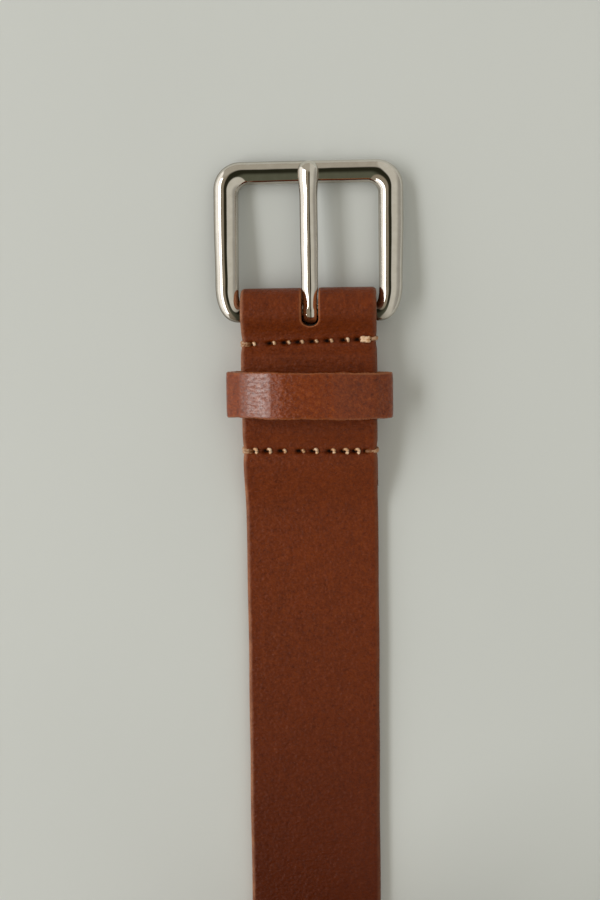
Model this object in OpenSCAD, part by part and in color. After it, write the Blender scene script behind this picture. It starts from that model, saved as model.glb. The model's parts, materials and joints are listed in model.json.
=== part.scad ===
// Leather belt, 38 mm wide, laid out buckle up with its far end rolled.
// The strap is folded round the buckle's heel bar and sewn down with two rows
// of hand stitching.  The keeper loop is trapped between those rows.

/* [Strap] */
// Width of the strap
strap_w = 38; // [34:1:42]
// Thickness of the leather
strap_t = 3.5; // [3.25:0.25:4]
// Length from the fold at the buckle to the middle hole
belt_size = 860; // [840:5:880]
// Length from the middle hole to the tip
tail_len = 150; // [140:5:160]
// Length of strap that lies flat before the roll, from the heel bar
flat_len = 226; // [215:1:260]

/* [Tongue holes] */
// Number of holes
hole_count = 5; // [3:2:5]
// Distance from hole to hole
hole_pitch = 25.4; // [24:0.2:26]
// Diameter of a hole
hole_d = 4.8; // [4:0.2:5]

/* [Folded end] */
// Distance from the heel bar to the first row of stitches
row_1 = 8.6; // [8.4:0.1:9]
// Distance from the heel bar to the second row of stitches
row_2 = 39.4; // [39:0.2:41]
// Distance from the heel bar to the end of the folded flap
flap_end = 50; // [48:1:52]
// Width of the slot that the tongue comes through
slot_w = 6.6; // [6.2:0.2:7]
// Distance from the heel bar to the round end of the slot
slot_end = 4.6; // [4.4:0.1:4.8]

/* [Stitching] */
// Number of stitch holes in a row
stitch_count = 9; // [7:2:9]
// Distance from stitch hole to stitch hole
stitch_pitch = 4.15; // [4:0.05:4.2]
// Diameter of the waxed thread
thread_d = 1; // [0.9:0.05:1.1]

/* [Buckle] */
// Length from the heel bar to the front of the frame
frame_len = 42.2; // [41:0.2:44]
// Width of the frame's bar
bar_w = 7; // [6.6:0.1:7.4]
// Height of the frame's rounded crown above the heel bar's centre
crown_h = 2.6; // [2.4:0.1:2.8]
// Depth of the frame below the heel bar's centre
base_h = 2.2; // [2.1:0.1:2.4]
// Diameter of the heel bar
heel_d = 4; // [3.8:0.1:4.2]

/* [Tongue] */
// Width of the tongue across its tip
tip_w = 5.6; // [5.2:0.2:6]
// Width of the tongue where it meets the fold
blade_w = 5; // [4.6:0.2:5]
// Width of the neck and of the eye round the heel bar
neck_w = 3; // [2.8:0.1:3.4]
// Thickness of the metal round the eye
eye_t = 1.7; // [1.5:0.1:1.7]

/* [Keeper] */
// Distance from the heel bar to the middle of the keeper
keeper_at = 23.1; // [22.8:0.1:23.4]
// Length of the keeper along the strap
keeper_len = 12.8; // [12:0.2:13]
// Thickness of the keeper's leather
keeper_t = 2; // [1.8:0.1:2.2]
// Height of the keeper's crown, to the middle of its leather
keeper_crown = 17; // [16.5:0.1:18]
// Distance that the keeper can slide either way
keeper_slide = 3; // [0:0.5:3]

/* [Roll] */
// Radius of the outermost turn, to the middle of the leather
roll_r = 43; // [42:0.5:46]
// Distance from one turn to the next
roll_pitch = 4.8; // [4.8:0.1:5.2]

/* [Hidden] */
$fn = 64;
eps = 0.01;

leather_colour = [0.42, 0.20, 0.11];
keeper_colour = [0.50, 0.26, 0.15];
metal_colour = [0.78, 0.77, 0.74];
thread_colour = [0.78, 0.62, 0.42];

// The fold: the strap turns round the heel bar with room to hinge
hinge_gap = 0.3;
fold_in = heel_d / 2 + hinge_gap;
fold_out = fold_in + strap_t;
fold_y = 0.7;
heel_z = fold_out;
fold_top = 2 * fold_out;

// Heights of the two layers behind the fold
stitch_lift = 0.95;
seam_half = 0.8;
seam_top = stitch_lift + 2 * strap_t;
keeper_gap = 0.3;
pocket_h = keeper_t + 2 * keeper_gap;
pocket_top = 2 * strap_t + pocket_h;
pocket_spare = 0.5;
pocket_a = keeper_at - keeper_len / 2 - keeper_slide - pocket_spare;
pocket_b = keeper_at + keeper_len / 2 + keeper_slide + pocket_spare;
fold_flat = 0.5;
run_out = 8;
layers_end = flap_end + run_out;
step = 0.6;

// Knots [distance behind the heel bar, height], joined by cosine curves
top_knots = [
    [fold_flat, fold_top],
    [row_1 - seam_half, seam_top],
    [row_1 + seam_half, seam_top],
    [pocket_a, pocket_top],
    [pocket_b, pocket_top],
    [row_2 - seam_half, seam_top],
    [row_2 + seam_half, seam_top],
    [layers_end, strap_t]
];
under_knots = [
    [fold_flat, 0],
    [row_1 - seam_half, stitch_lift],
    [row_1 + seam_half, stitch_lift],
    [pocket_a, 0],
    [pocket_b, 0],
    [row_2 - seam_half, stitch_lift],
    [row_2 + seam_half, stitch_lift],
    [flap_end, 0]
];

function ease(a, b, f) = a + (b - a) * (1 - cos(180 * f)) / 2;
function between(p, q, d) = ease(p[1], q[1], (d - p[0]) / (q[0] - p[0]));
function height(k, d, i = 0) =
    d <= k[0][0] ? k[0][1]
    : i == len(k) - 1 ? k[i][1]
    : d <= k[i + 1][0] ? between(k[i], k[i + 1], d)
    : height(k, d, i + 1);
function top_z(d) = height(top_knots, d);
function under_z(d) = height(under_knots, d);
function stations(a, b) = let (n = ceil((b - a) / step)) [for (i = [0:n]) a + (b - a) * i / n];
function reversed(list) = [for (i = [len(list) - 1:-1:0]) list[i]];

// Length of strap from the fold's front edge to the start of the roll
fold_arc = PI / 2 * (fold_in + strap_t / 2);
function path_piece(a, b) = norm([b - a, top_z(b) - top_z(a)]);
function path_len(s, i = 0) = i == len(s) - 1 ? 0 : path_piece(s[i], s[i + 1]) + path_len(s, i + 1);
laid_len = fold_arc + fold_y + fold_flat + path_len(stations(fold_flat, layers_end)) + flat_len - layers_end;
roll_len = belt_size + tail_len - laid_len;

// The roll: half turns whose radius shrinks by half a pitch each time
function turn_r(k) = roll_r - k * roll_pitch / 2;
function turn_z(k) = strap_t / 2 + roll_r + (k % 2) * roll_pitch / 2;
function turns_sum(k) = PI * (k * roll_r - roll_pitch * k * (k - 1) / 4);
function whole_turns(len, k = 0) = turns_sum(k + 1) > len ? k : whole_turns(len, k + 1);
function turn_angle(len, k) = (len - turns_sum(k)) / turn_r(k) * 180 / PI;
last_turn = whole_turns(roll_len);
last_angle = turn_angle(roll_len, last_turn);
tip_len = 32;
tip_angle = tip_len / turn_r(last_turn) * 180 / PI;
tip_power = 2.3;
tip_steps = 24;

// The frame: one bar bent round to both ends of the heel bar
opening_w = strap_w + 1.4;
frame_w = opening_w + 2 * bar_w;
inner_corner_r = 3;
corner_r = inner_corner_r + bar_w / 2;
bar_x = (opening_w + bar_w) / 2;
front_mid = frame_len - bar_w / 2;
bend_y = front_mid - corner_r;
heel_back = 2.9;
bar_end_y = bar_w / 2 - heel_back;
crown_r = (pow(bar_w / 2, 2) + pow(crown_h, 2)) / (2 * crown_h);

// The frame is tilted so that the front bar's lower edge lies on the surface
frame_reach = front_mid + sqrt(pow(crown_r, 2) - pow(base_h + crown_h - crown_r, 2));
frame_tilt = asin(heel_z / norm([frame_reach, base_h])) - atan2(base_h, frame_reach);

// The tongue's side view, [distance in front of the heel bar, height above it]
bore_gap = 0.05;
eye_in = heel_d / 2 + bore_gap;
eye_out = eye_in + eye_t;
rest_gap = 0.2;
tongue_len = frame_len - 0.5;
ride_h = crown_h + rest_gap;
tongue_side = [
    [-1, eye_in - 0.1],
    [5, eye_in + 0.1],
    [20, ride_h - 0.3],
    [front_mid - 3, ride_h],
    [front_mid + 0.4, ride_h + 0.1],
    [front_mid + 1.8, ride_h - 0.35],
    [tongue_len - 0.4, ride_h - 0.75],
    [tongue_len, ride_h - 0.3],
    [tongue_len - 0.2, ride_h + 0.8],
    [tongue_len - 1.2, ride_h + 1.8],
    [front_mid, ride_h + 2.4],
    [front_mid - 6, ride_h + 2.5],
    [20, ride_h + 2.1],
    [8, ride_h + 1.4],
    [-1, eye_out - 0.25]
];
shoulder_a = 5.4;
shoulder_b = 7.6;
tip_start = tongue_len - tip_w / 2;

// The keeper's end view: a flat run under the top layer and an arch over it
keeper_side_x = strap_w / 2 + 3.5;
keeper_low_r = 3;
keeper_low_z = strap_t + keeper_gap + keeper_t / 2 + keeper_low_r;
keeper_mid_z = 8.6;
keeper_power = 2.5;
butt_gap = 0.3;
butt_stitches = 3;
butt_stitch_pitch = 3.6;
butt_stitch_reach = 2.4;
butt_thread_r = 0.35;
butt_room = 0.08;

// Room between the thread and its hole, and how deep the thread beds in
awl_gap = 0.1;
bedding = 0.2;

// The whole object is centred on its box
front_y = frame_len * cos(frame_tilt);
back_y = flat_len + roll_r + strap_t / 2;
heel_y = (back_y - front_y) / 2;

// Moves its children from heel bar coordinates to the object's own
module placed() {
    translate([0, heel_y, 0]) children();
}

// Turns a side view, drawn as [y, z], into a solid of width w about x = 0
module across(w) {
    rotate([90, 0, 90])
        linear_extrude(height = w, center = true) children();
}

// Turns an end view, drawn as [x, z], into a solid of length l about y = 0
module along(l) {
    rotate([90, 0, 0]) linear_extrude(height = l, center = true) children();
}

// Stands its children on the roll, k half turns and angle a along it.
// There the leather lies r below the origin and runs towards -y.
module on_roll(k, a) {
    translate([0, -flat_len, turn_z(k)])
        rotate([(k % 2) * 180 - a, 0, 0]) children();
}

// The side view of a stretch of the roll, from angle a to angle b (b - a <= 180)
module roll_arc(k, a, b) {
    r = turn_r(k);
    far = 2 * roll_r;
    translate([-flat_len, turn_z(k)])
        rotate((k % 2) * 180)
            difference() {
                circle(r = r + strap_t / 2, $fn = 128);
                circle(r = r - strap_t / 2, $fn = 128);
                rotate(-a)
                    translate([0, -far]) square([far, 2 * far]);
                rotate(180 - b)
                    translate([0, -far]) square([far, 2 * far]);
            }
}

// The side view of everything between the fold and the roll
module laid_profile() {
    upper = stations(-fold_y, layers_end);
    flap = stations(-fold_y, flap_end);
    tail = stations(flap_end, layers_end);
    difference() {
        polygon(concat(
            [for (d = upper) [-d, top_z(d)]],
            [[-flat_len, strap_t], [-flat_len, 0]],
            [for (d = reversed(tail)) [-d, top_z(d) - strap_t]],
            [for (d = reversed(flap)) [-d, under_z(d)]]
        ));
        layer_gap(-fold_y - eps, row_1 - seam_half);
        layer_gap(row_1 + seam_half, row_2 - seam_half);
    }
}

// The space between the two layers, from distance a to distance b
module layer_gap(a, b) {
    s = stations(a, b);
    polygon(concat(
        [for (d = s) [-d, top_z(d) - strap_t]],
        [for (d = reversed(s)) [-d, under_z(d) + strap_t]]
    ));
}

module fold_profile() {
    translate([fold_y, heel_z])
        difference() {
            circle(r = fold_out);
            circle(r = fold_in);
            translate([-2 * fold_out, -2 * fold_out]) square([2 * fold_out, 4 * fold_out]);
        }
}

// The slot runs round the fold, from the top layer to the bottom one
module tongue_slot() {
    r = slot_w / 2;
    translate([0, r - slot_end, -1])
        union() {
            cylinder(r = r, h = fold_top + 2);
            translate([-r, 0, 0]) cube([slot_w, 2 * fold_out, fold_top + 2]);
        }
}

module stitch_holes(row) {
    for (i = [0:stitch_count - 1])
        translate([(i - (stitch_count - 1) / 2) * stitch_pitch, -row, -1])
            cylinder(d = thread_d - 0.1 + 2 * awl_gap, h = seam_top + 2, $fn = 24);
}

module belt_holes() {
    for (i = [0:hole_count - 1]) {
        s = roll_len - tail_len + (i - (hole_count - 1) / 2) * hole_pitch;
        k = whole_turns(s);
        on_roll(k, turn_angle(s, k))
            translate([0, 0, -turn_r(k)]) cylinder(d = hole_d, h = strap_t + 1, center = true);
    }
}

// The strap's end, rounded to a blunt point
module strap_tip() {
    r = turn_r(last_turn);
    half = tip_angle / 2;
    edge = [for (i = [0:tip_steps]) i / tip_steps];
    side = [for (f = edge) [
        strap_w / 2 * pow(1 - pow(f, tip_power), 1 / tip_power),
        -r * sin(f * tip_angle - half)
    ]];
    intersection() {
        across(strap_w) roll_arc(last_turn, last_angle - tip_angle, last_angle);
        on_roll(last_turn, last_angle - half)
            translate([0, 0, -r])
                linear_extrude(height = r, center = true)
                    polygon(concat(
                        [[strap_w / 2, r]],
                        side,
                        [for (p = reversed(side)) [-p[0], p[1]]],
                        [[-strap_w / 2, r]]
                    ));
    }
}

module strap() {
    color(leather_colour) placed()
        difference() {
            union() {
                across(strap_w)
                    union() {
                        fold_profile();
                        laid_profile();
                        for (k = [0:last_turn - 1]) roll_arc(k, 0, 180);
                        roll_arc(last_turn, 0, last_angle - tip_angle);
                    }
                strap_tip();
            }
            tongue_slot();
            stitch_holes(row_1);
            stitch_holes(row_2);
            belt_holes();
        }
}

// The bar's section: flat underneath, a round crown above the heel bar's centre
module bar_section() {
    intersection() {
        translate([0, crown_h - crown_r]) circle(r = crown_r);
        translate([-bar_w / 2, -base_h]) square([bar_w, base_h + crown_h + 1]);
    }
}

module straight_bar(l) {
    rotate([90, 0, 0]) linear_extrude(height = l, center = true) bar_section();
}

module front_corner() {
    rotate_extrude(angle = 90) translate([corner_r, 0]) bar_section();
}

// The bar's rounded end beside the heel
module heel_knob() {
    rotate_extrude()
        intersection() {
            bar_section();
            translate([0, -base_h]) square([bar_w, 2 * bar_w]);
        }
}

module buckle_frame() {
    color(metal_colour) placed()
        translate([0, 0, heel_z]) rotate([-frame_tilt, 0, 0])
            union() {
                translate([0, front_mid, 0]) rotate([0, 0, 90]) straight_bar(2 * (bar_x - corner_r));
                for (s = [-1, 1]) {
                    translate([s * bar_x, (bend_y + bar_end_y) / 2, 0]) straight_bar(bend_y - bar_end_y);
                    translate([s * bar_x, bar_end_y, 0]) heel_knob();
                    translate([s * (bar_x - corner_r), bend_y, 0])
                        rotate([0, 0, s > 0 ? 0 : 90]) front_corner();
                }
                rotate([0, 90, 0]) cylinder(d = heel_d, h = 2 * bar_x, center = true);
            }
}

module tongue() {
    half = [
        [neck_w / 2, -2 * eye_out],
        [neck_w / 2, shoulder_a],
        [blade_w / 2, shoulder_b],
        [tip_w / 2, tip_start - 4],
        [tip_w / 2, tip_start]
    ];
    nose = [for (a = [15:15:90]) [tip_w / 2 * cos(a), tip_start + tip_w / 2 * sin(a)]];
    right = concat(half, nose);
    color(metal_colour) placed()
        translate([0, 0, heel_z]) rotate([-frame_tilt, 0, 0])
            difference() {
                union() {
                    rotate([0, 90, 0]) cylinder(r = eye_out, h = neck_w, center = true);
                    intersection() {
                        across(2 * tip_w) polygon(tongue_side);
                        translate([0, 0, -1])
                            linear_extrude(height = 10)
                                polygon(concat(right, [for (p = reversed(right)) [-p[0], p[1]]]));
                    }
                }
                rotate([0, 90, 0]) cylinder(r = eye_in, h = 2 * tip_w, center = true);
            }
}

// The keeper's outline, g outside the middle of its leather
function keeper_arch(g) = [for (a = [0:5:180]) [
    sign(cos(a)) * (keeper_side_x + g) * pow(abs(cos(a)), 2 / keeper_power),
    keeper_mid_z + (keeper_crown - keeper_mid_z + g) * pow(sin(a), 2 / keeper_power)
]];
function keeper_low(g, from) = [for (a = [from:15:from + 90]) [
    (a < 270 ? -1 : a > 270 ? 1 : from < 270 ? -1 : 1) * (keeper_side_x - keeper_low_r)
        + (keeper_low_r + g) * cos(a),
    keeper_low_z + (keeper_low_r + g) * sin(a)
]];
function keeper_outline(g) = concat(keeper_arch(g), keeper_low(g, 180), keeper_low(g, 270));

// One closing stitch across the butt joint, drawn with thread radius r
module butt_stitch(r) {
    z = strap_t + keeper_gap + keeper_t / 2;
    rise = keeper_t / 2 - butt_thread_r - butt_room;
    translate([0, 0, z]) {
        for (s = [-1, 1]) {
            translate([0, 0, s * rise])
                rotate([0, 90, 0]) cylinder(r = r, h = 2 * (butt_stitch_reach + r), center = true, $fn = 24);
            translate([s * butt_stitch_reach, 0, 0])
                cylinder(r = r - 0.06, h = 2 * rise, center = true, $fn = 24);
        }
    }
}

module butt_row(r) {
    for (i = [0:butt_stitches - 1])
        translate([0, -keeper_at + (i - (butt_stitches - 1) / 2) * butt_stitch_pitch, 0]) butt_stitch(r);
}

module keeper() {
    z = strap_t + keeper_gap;
    color(keeper_colour) placed()
        difference() {
            translate([0, -keeper_at, 0])
                along(keeper_len)
                    difference() {
                        polygon(keeper_outline(keeper_t / 2));
                        polygon(keeper_outline(-keeper_t / 2));
                    }
            translate([-butt_gap / 2, -keeper_at - keeper_len, z - 1])
                cube([butt_gap, 2 * keeper_len, keeper_t + 2]);
            butt_row(butt_thread_r + butt_room);
        }
}

module keeper_stitching() {
    color(thread_colour) placed() butt_row(butt_thread_r);
}

// One row of saddle stitching: a thread above and below, joined through
// every hole and round both edges of the strap
module stitch_row(row) {
    r = thread_d / 2;
    low = stitch_lift - r + bedding;
    high = seam_top + r - bedding;
    edge = strap_w / 2 + r - bedding;
    translate([0, -row, 0]) {
        for (z = [low, high])
            translate([0, 0, z])
                rotate([0, 90, 0]) cylinder(r = r, h = 2 * edge, center = true, $fn = 24);
        for (i = [0:stitch_count - 1])
            translate([(i - (stitch_count - 1) / 2) * stitch_pitch, 0, low])
                cylinder(r = r - 0.05, h = high - low, $fn = 24);
        for (s = [-1, 1])
            translate([s * edge, 0, low - r * 0.8]) cylinder(r = r * 1.1, h = high - low + r * 1.6, $fn = 24);
    }
}

module fold_stitching() {
    color(thread_colour) placed() stitch_row(row_1);
}

module flap_stitching() {
    color(thread_colour) placed() stitch_row(row_2);
}

strap();
buckle_frame();
tongue();
keeper();
fold_stitching();
flap_stitching();
keeper_stitching();
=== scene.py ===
# %% [markdown]
# # A leather belt, laid out buckle up
#
# The belt is one long strip of thick brown leather. Its front end is folded round the
# bar of a polished buckle and sewn down by hand, and its far end is rolled up. The CAD
# model holds every size and every hinge. This script builds the looks round it: each
# new piece stands exactly where its CAD node is, in metres, and rides on its body.

import json
import math

import bmesh
import bpy
import numpy as np
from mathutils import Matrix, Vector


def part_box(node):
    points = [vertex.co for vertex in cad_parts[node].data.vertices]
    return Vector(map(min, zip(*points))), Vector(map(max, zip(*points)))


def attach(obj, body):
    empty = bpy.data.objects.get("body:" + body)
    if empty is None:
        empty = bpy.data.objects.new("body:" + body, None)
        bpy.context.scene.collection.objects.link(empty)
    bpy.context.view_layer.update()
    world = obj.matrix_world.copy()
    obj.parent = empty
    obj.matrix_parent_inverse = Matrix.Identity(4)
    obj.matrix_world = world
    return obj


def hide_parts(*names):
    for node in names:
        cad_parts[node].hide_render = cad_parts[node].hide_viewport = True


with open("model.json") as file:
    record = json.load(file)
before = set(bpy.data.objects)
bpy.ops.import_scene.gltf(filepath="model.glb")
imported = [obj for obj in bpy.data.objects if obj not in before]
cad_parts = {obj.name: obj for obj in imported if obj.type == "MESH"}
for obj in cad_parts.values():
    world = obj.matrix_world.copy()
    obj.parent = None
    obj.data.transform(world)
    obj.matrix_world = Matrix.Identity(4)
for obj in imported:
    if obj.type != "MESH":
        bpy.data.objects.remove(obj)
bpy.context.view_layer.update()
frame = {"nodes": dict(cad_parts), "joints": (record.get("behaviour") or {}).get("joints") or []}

# %% [markdown]
# Everything below is worked out in millimetres from the heel bar, the bar of the buckle
# that the strap is folded round. x runs across the strap, y towards the buckle's front
# and z up. The places come from the frame: the hinge's own point, and the boxes of the
# nodes that are being replaced.

# %% Places taken from the frame
MM = 0.001


def box_mm(node):
    """The lowest and highest corner of a CAD node in millimetres, from the heel bar in y."""
    low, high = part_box(node)
    low, high = np.array(low) / MM, np.array(high) / MM
    low[1] -= HEEL_Y
    high[1] -= HEEL_Y
    return low, high


hinge = next(joint for joint in frame["joints"] if joint["name"] == "frame_hinge")
HEEL_Y = hinge["pos_m"][1] / MM
HEEL_Z = hinge["pos_m"][2] / MM

STRAP_T = 3.5
strap_low, strap_high = box_mm("strap")
HALF_W = strap_high[0]
ROLL_OUT = (strap_high[2] - strap_low[2]) / 2
ROLL_R = ROLL_OUT - STRAP_T / 2
ROLL_Y = strap_low[1] + ROLL_OUT

row_low, row_high = box_mm("fold_stitching")
ROW_FOLD = -(row_low[1] + row_high[1]) / 2
row_low, row_high = box_mm("flap_stitching")
ROW_FLAP = -(row_low[1] + row_high[1]) / 2

keeper_low, keeper_high = box_mm("keeper")
KEEPER_AT = -(keeper_low[1] + keeper_high[1]) / 2
KEEPER_LEN = keeper_high[1] - keeper_low[1]
FRAME_HALF = box_mm("buckle_frame")[1][0]
print("heel bar at", round(HEEL_Y, 3), HEEL_Z, "rows", round(ROW_FOLD, 2), round(ROW_FLAP, 2))
print("keeper", round(KEEPER_AT, 2), round(KEEPER_LEN, 2), "roll", round(ROLL_R, 2), round(ROLL_Y, 2))

# %% [markdown]
# ## Camera, floor and light
#
# The belt is looked at from almost straight above, with a 50 mm lens a little over a
# third of a metre away. It lies on a plain pale floor. The light is one large soft
# window on the left, so every rounded edge has a bright left side and a soft shadow on
# its right. Polished metal shows whatever stands round it, so the world is given a
# simple room: pale in front and on the right, dark overhead, brown on the window's side.

# %% Camera
camera_data = bpy.data.cameras.new("camera")
camera_data.lens = 50
camera_data.sensor_width = 36
camera = bpy.data.objects.new("camera", camera_data)
camera.location = (0.0200, (HEEL_Y - 8.1) * MM, 0.3588)
camera.rotation_euler = [math.radians(turn) for turn in (-5.08, 3.66, -0.76)]
bpy.context.scene.collection.objects.link(camera)
bpy.context.scene.camera = camera
bpy.context.scene.view_settings.view_transform = "Standard"

# %% [markdown]
# ## Shader maths
#
# A finish is easier to read as a formula than as a plate of wires. `Value` wraps one
# output socket, so that `1 - mask` or `a * 0.5 + b` adds the Math nodes it needs.
# `Bench` holds a node tree, and its `node` makes any other node in one line.


# %% Values and the bench they are made on
class Value:
    """One output socket of a node tree, used like a number."""

    def __init__(self, bench, socket):
        self.bench = bench
        self.socket = socket

    def __add__(self, other):
        return self.bench.maths("ADD", self, other)

    def __sub__(self, other):
        return self.bench.maths("SUBTRACT", self, other)

    def __rsub__(self, other):
        return self.bench.maths("SUBTRACT", other, self)

    def __mul__(self, other):
        return self.bench.maths("MULTIPLY", self, other)

    __radd__ = __add__
    __rmul__ = __mul__


class Bench:
    """A node tree, and the few ways in which nodes are added to it."""

    def __init__(self, tree):
        self.tree = tree

    def put(self, socket, value):
        """Gives a socket a link, if value is one, or a plain value."""
        if isinstance(value, Value):
            self.tree.links.new(value.socket, socket)
        else:
            socket.default_value = value

    def node(self, kind, settings=None, sockets=None, output=0):
        """Adds a node: its settings first, then its sockets. Returns one of its outputs."""
        made = self.tree.nodes.new(kind)
        for name, value in (settings or {}).items():
            setattr(made, name, value)
        for name, value in (sockets or {}).items():
            self.put(made.inputs[name], value)
        return Value(self, made.outputs[output])

    def maths(self, operation, first, second=0.0):
        return self.node("ShaderNodeMath", {"operation": operation}, {0: first, 1: second})

    def step(self, value, low, high):
        """0 below low and 1 above high, with a smooth rise between them."""
        settings = {"interpolation_type": "SMOOTHSTEP"}
        sockets = {"Value": value, "From Min": low, "From Max": high}
        return self.node("ShaderNodeMapRange", settings, sockets)

    def mix(self, factor, first, second):
        """A colour that goes from first to second as factor goes from 0 to 1."""
        settings = {"data_type": "RGBA"}
        return self.node("ShaderNodeMix", settings, {0: factor, 6: first, 7: second}, 2)

    def noise(self, where, scale, detail=2.0, roughness=0.5):
        sockets = {"Vector": where, "Scale": scale, "Detail": detail, "Roughness": roughness}
        return self.node("ShaderNodeTexNoise", {}, sockets)

    def mapped(self, where, scale):
        """The same place with each axis stretched by its own amount."""
        return self.node("ShaderNodeVectorMath", {"operation": "MULTIPLY"}, {0: where, 1: scale})

    def stored(self, label, output=2):
        """A number that `attribute` stored on the piece, or with output 1 a vector."""
        return self.node("ShaderNodeAttribute", {"attribute_name": label}, output=output)

    def bump(self, height, strength, distance):
        """The surface's direction, tilted by a pattern of heights."""
        sockets = {"Strength": strength, "Distance": distance, "Height": height}
        return self.node("ShaderNodeBump", {}, sockets)

    def dress(self, shader, looks):
        """Puts every value of looks into the shader's socket of that name."""
        for name, value in looks.items():
            self.put(shader.inputs[name], value)


def finish_bench(name):
    """A new material with an empty Principled shader: (material, bench, shader node)."""
    material = bpy.data.materials.new(name)
    material.use_nodes = True
    tree = material.node_tree
    tree.nodes.clear()
    shader = tree.nodes.new("ShaderNodeBsdfPrincipled")
    output = tree.nodes.new("ShaderNodeOutputMaterial")
    tree.links.new(shader.outputs[0], output.inputs["Surface"])
    return material, Bench(tree), shader


def colour(red, green, blue):
    """A display colour of 0 to 255, as the linear colour that a shader takes."""
    share = np.array([red, green, blue]) / 255
    linear = np.where(share <= 0.04045, share / 12.92, ((share + 0.055) / 1.055) ** 2.4)
    return (*linear.tolist(), 1.0)


# %% [markdown]
# The floor is painted board, pale and nearly plain. Only a slow change of tone and a
# faint unevenness keep it from looking like paper.

# %% Floor
floor_finish, bench, shader = finish_bench("painted_floor")
where = bench.node("ShaderNodeTexCoord", output=3)
tone = bench.noise(where, 6.0, 3.0)
paint = bench.mix(tone, colour(207, 211, 209), colour(216, 220, 218))
uneven = bench.bump(bench.noise(where, 180.0, 4.0), 0.12, 0.0006)
bench.dress(shader, {"Base Color": paint, "Roughness": 0.55, "Normal": uneven})

FLOOR_HALF = 6.0
FLOOR_DROP = 0.00005
corners = [(-1, -1), (1, -1), (1, 1), (-1, 1)]
floor_mesh = bpy.data.meshes.new("floor")
floor_points = [(x * FLOOR_HALF, y * FLOOR_HALF, -FLOOR_DROP) for x, y in corners]
floor_mesh.from_pydata(floor_points, [], [(0, 1, 2, 3)])
floor_mesh.materials.append(floor_finish)
floor = bpy.data.objects.new("floor", floor_mesh)
bpy.context.scene.collection.objects.link(floor)

# %% [markdown]
# A window could be a world picture, a lamp or a glowing card. One area lamp is used: it
# samples cleanly, shows as a crisp white strip in the polished bar, and its size sets
# how soft the shadows are. The rest of the room is a formula on the world's direction,
# with a bright sill below the window. A matt surface gets a little more of it than a
# mirror does, which stands for the light that a real room's walls pass on.

# %% Window
WINDOW_FAR = 2.2
WINDOW_HIGH = 2.05
WINDOW_WIDTH = 3.9
WINDOW_TALL = 0.75
WINDOW_DOWN = 47.0
WINDOW_POWER = 42.5
MATT_GAIN = 0.28
window_data = bpy.data.lights.new("window", "AREA")
window_data.shape = "RECTANGLE"
window_data.size = WINDOW_WIDTH
window_data.size_y = WINDOW_TALL
window_data.energy = WINDOW_POWER
window_data.color = (0.985, 0.985, 0.98)
window = bpy.data.objects.new("window", window_data)
window.location = (-WINDOW_FAR, 0.12, WINDOW_HIGH)
window.rotation_euler = (math.radians(WINDOW_DOWN), 0.0, math.radians(-90))
window.visible_camera = False
bpy.context.scene.collection.objects.link(window)

# %% Room
world = bpy.data.worlds.new("room")
world.use_nodes = True
bpy.context.scene.world = world
world.node_tree.nodes.clear()
bench = Bench(world.node_tree)
direction = bench.node("ShaderNodeTexCoord", output=0)
split = world.node_tree.nodes.new("ShaderNodeSeparateXYZ")
bench.put(split.inputs[0], direction)
east, north = Value(bench, split.outputs[0]), Value(bench, split.outputs[1])
up = Value(bench, split.outputs[2])
to_south = bench.step(0 - north, -0.12, 0.40)
dark_side = bench.mix(to_south, (0.022, 0.022, 0.013, 1), (0.105, 0.110, 0.078, 1))
room = bench.mix(bench.step(0 - east, 0.20, 0.32), dark_side, (0.30, 0.26, 0.20, 1))
room = bench.mix(bench.step(north, 0.44, 0.60), room, (0.43, 0.405, 0.35, 1))
room = bench.mix(bench.step(east, 0.05, 0.15), room, (0.60, 0.585, 0.53, 1))
room = bench.mix(bench.step(east, 0.60, 0.92), room, (0.34, 0.33, 0.30, 1))
sill = bench.step(0 - east, 0.60, 0.66) * (1 - bench.step(up, 0.56, 0.60))
room = bench.mix(sill, room, (1.12, 1.09, 1.05, 1))
seen = bench.node("ShaderNodeLightPath")
matt = bench.node("ShaderNodeLightPath", output=2)
backdrop = bench.mix(seen, room, (0.50, 0.50, 0.485, 1))
strength = 1 + matt * MATT_GAIN
background = bench.node("ShaderNodeBackground", {}, {"Color": backdrop, "Strength": strength})
world_output = world.node_tree.nodes.new("ShaderNodeOutputWorld")
bench.put(world_output.inputs["Surface"], background)
print("camera, floor, window and room are made")

# %% [markdown]
# ## How the surfaces are made
#
# Each piece is a grid of points worked out with numpy: rows run along the piece and
# columns run round its section. `quads` joins the grid up, and `new_piece` turns one or
# more grids into one mesh, closes their ends and gives it smooth shading.


# %% Grids to meshes
def quads(rows, columns, loop=False):
    """The faces of a grid whose columns close into a ring, and whose rows do if loop."""
    row = np.arange(rows if loop else rows - 1)[:, None]
    column = np.arange(columns)[None, :]
    below = (row + 1) % rows
    beside = (column + 1) % columns
    corners = [row * columns + column, row * columns + beside]
    corners += [below * columns + beside, below * columns + column]
    return np.stack(np.broadcast_arrays(*corners), axis=-1).reshape(-1, 4)


def joined(grids, loop=False):
    """All the points and faces of several grids, each closed by a flat face at its ends."""
    points, faces, first = [], [], 0
    for grid in grids:
        rows, columns = grid.shape[:2]
        points.append(grid.reshape(-1, 3))
        faces += (quads(rows, columns, loop) + first).tolist()
        if not loop:
            faces.append(list(range(first + columns - 1, first - 1, -1)))
            last = first + (rows - 1) * columns
            faces.append(list(range(last, last + columns)))
        first += rows * columns
    return np.concatenate(points), faces


def outward(mesh):
    """Turns every face of a closed mesh to point out of it."""
    work = bmesh.new()
    work.from_mesh(mesh)
    bmesh.ops.recalc_face_normals(work, faces=work.faces)
    work.to_mesh(mesh)
    work.free()


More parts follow.
